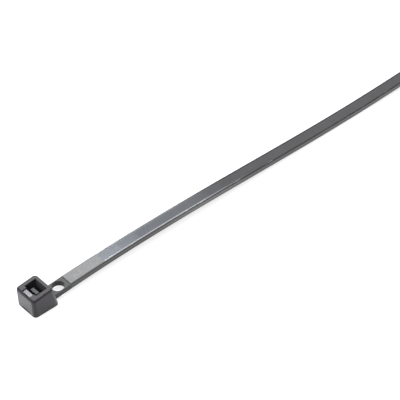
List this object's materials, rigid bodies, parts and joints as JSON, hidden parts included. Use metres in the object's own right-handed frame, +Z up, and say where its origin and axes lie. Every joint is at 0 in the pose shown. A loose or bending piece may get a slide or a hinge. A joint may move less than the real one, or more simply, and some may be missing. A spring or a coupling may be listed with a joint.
{
  "type": "cable tie",
  "caption": "One-piece nylon cable tie: boxy head with a pawl in its slot, round hole beside it, and a smooth strap with a toothed rack underneath.",
  "frame": {"origin": "centre of the strap's passage in the base of the head", "axes": "+X along the strap, away from the head; +Z up through the slot, the way the tail is pulled; +Y across the strap"},
  "size_m": [0.1, 0.0046, 0.0037],
  "materials": {
    "nylon": "polished strap, matt head and marking pad"
  },
  "bodies": {
    "root": {"cable_tie": "nylon"}
  },
  "joints": []
}
